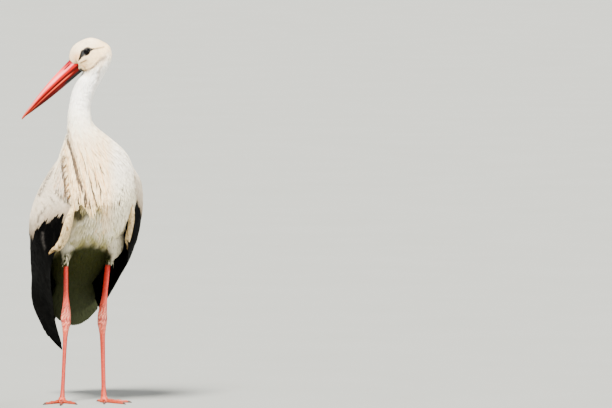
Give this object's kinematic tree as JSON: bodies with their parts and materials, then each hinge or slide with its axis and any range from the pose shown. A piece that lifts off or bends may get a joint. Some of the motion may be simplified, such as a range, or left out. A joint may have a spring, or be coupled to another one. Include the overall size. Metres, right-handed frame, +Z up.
{
  "type": "white stork",
  "caption": "Life-size white stork standing on both legs, wings folded, looking over its right shoulder with the long bill pointing down.",
  "frame": {"origin": "on the floor, under the middle of the figure's box", "axes": "+Z up, the breast faces -Y and the bird's left side is +X"},
  "size_m": [0.3067, 0.4398, 0.8832],
  "materials": {
    "plumage": "soft matt feathers, warm white",
    "flight_feathers": "satin black feathers",
    "bill": "satin red horn",
    "leg_skin": "matt coral scaled skin",
    "claw": "dark horn",
    "eye": "wet gloss"
  },
  "bodies": {
    "root": {"ankle_left": "leg_skin", "ankle_right": "leg_skin", "bill_lower": "bill", "bill_upper": "bill", "breast": "plumage", "claw_left_hind": "claw", "claw_left_inner": "claw", "claw_left_middle": "claw", "claw_left_outer": "claw", "claw_right_hind": "claw", "claw_right_inner": "claw", "claw_right_middle": "claw", "claw_right_outer": "claw", "eye_left": "eye", "eye_right": "eye", "foot_left": "leg_skin", "foot_right": "leg_skin", "head": "plumage", "neck_lower": "plumage", "neck_middle": "plumage", "neck_upper": "plumage", "rump": "plumage", "shank_left": "leg_skin", "shank_right": "leg_skin", "tail": "plumage", "tarsus_left": "leg_skin", "tarsus_right": "leg_skin", "thigh_left": "plumage", "thigh_right": "plumage", "toe_left_hind": "leg_skin", "toe_left_inner": "leg_skin", "toe_left_middle": "leg_skin", "toe_left_outer": "leg_skin", "toe_right_hind": "leg_skin", "toe_right_inner": "leg_skin", "toe_right_middle": "leg_skin", "toe_right_outer": "leg_skin", "trunk": "plumage", "wing_left_coverts": "plumage", "wing_left_hand": "plumage", "wing_left_primaries": "flight_feathers", "wing_left_secondaries": "flight_feathers", "wing_right_coverts": "plumage", "wing_right_hand": "plumage", "wing_right_primaries": "flight_feathers", "wing_right_secondaries": "flight_feathers"}
  },
  "joints": []
}
